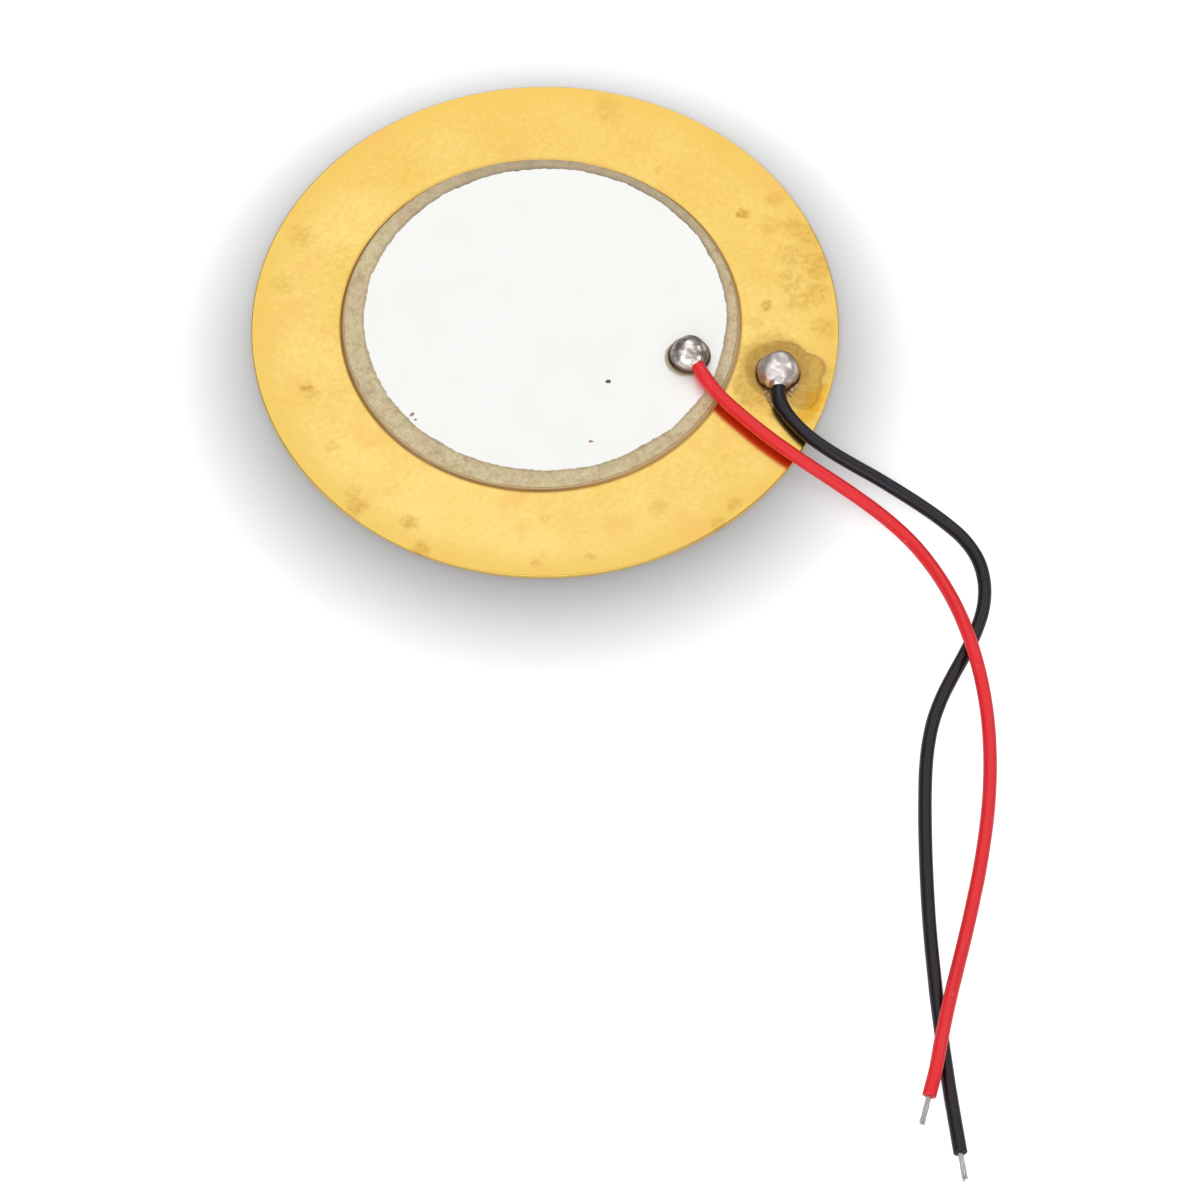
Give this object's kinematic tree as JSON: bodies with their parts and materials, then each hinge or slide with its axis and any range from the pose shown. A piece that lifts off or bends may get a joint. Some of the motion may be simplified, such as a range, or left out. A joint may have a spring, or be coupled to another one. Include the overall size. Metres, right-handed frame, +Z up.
{
  "type": "piezo disc",
  "caption": "Thin ceramic disc with silver electrodes, bonded to a round brass plate, with soldered red and black leads. Turns voltage into sound or vibration, and back.",
  "frame": {"origin": "centre of the brass plate's underside, on the surface that the disc rests on", "axes": "+Z up through the ceramic; +X from the centre through both solder joints; the leads run off towards +X and -Y"},
  "size_m": [0.0549, 0.0662, 0.0019],
  "materials": {
    "brass": "rolled sheet, lightly tarnished",
    "bond_resin": "cured resin, smooth",
    "fired_silver": "matt fired silver",
    "ceramic": "lapped, unglazed",
    "solder": "bright, frozen as it cooled",
    "rosin": "dried flux, glassy",
    "red_pvc": "extruded, satin",
    "black_pvc": "extruded, satin",
    "tinned_copper": "tinned strands"
  },
  "bodies": {
    "root": {"brass_plate": "brass", "bond_film": "bond_resin", "lower_electrode": "fired_silver", "ceramic_disc": "ceramic", "upper_electrode": "fired_silver", "signal_joint": "solder", "ground_joint": "solder", "signal_flux": "rosin", "ground_flux": "rosin", "red_lead": "red_pvc", "black_lead": "black_pvc", "red_joint_end": "tinned_copper", "black_joint_end": "tinned_copper", "red_free_end": "tinned_copper", "black_free_end": "tinned_copper"}
  },
  "joints": []
}
